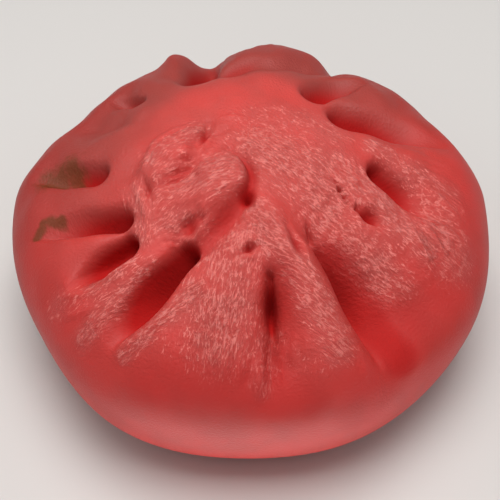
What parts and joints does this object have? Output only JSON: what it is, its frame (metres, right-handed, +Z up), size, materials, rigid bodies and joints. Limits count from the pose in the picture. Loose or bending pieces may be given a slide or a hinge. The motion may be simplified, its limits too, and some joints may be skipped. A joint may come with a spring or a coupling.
{
  "type": "steamed chicken bun",
  "caption": "Round steamed bun of pinkish-red dough, its top gathered into deep uneven pleats round a twisted flap, standing on a flat foot.",
  "frame": {"origin": "centre of the bun's box, on the plane its foot rests on", "axes": "+Z up through the gathered crown, -Y towards the viewer of the picture, +X to the viewer's right"},
  "size_m": [0.1098, 0.1035, 0.0559],
  "materials": {
    "dough": "thin satin skin of steamed coloured dough"
  },
  "bodies": {
    "root": {"bun": "dough"}
  },
  "joints": []
}
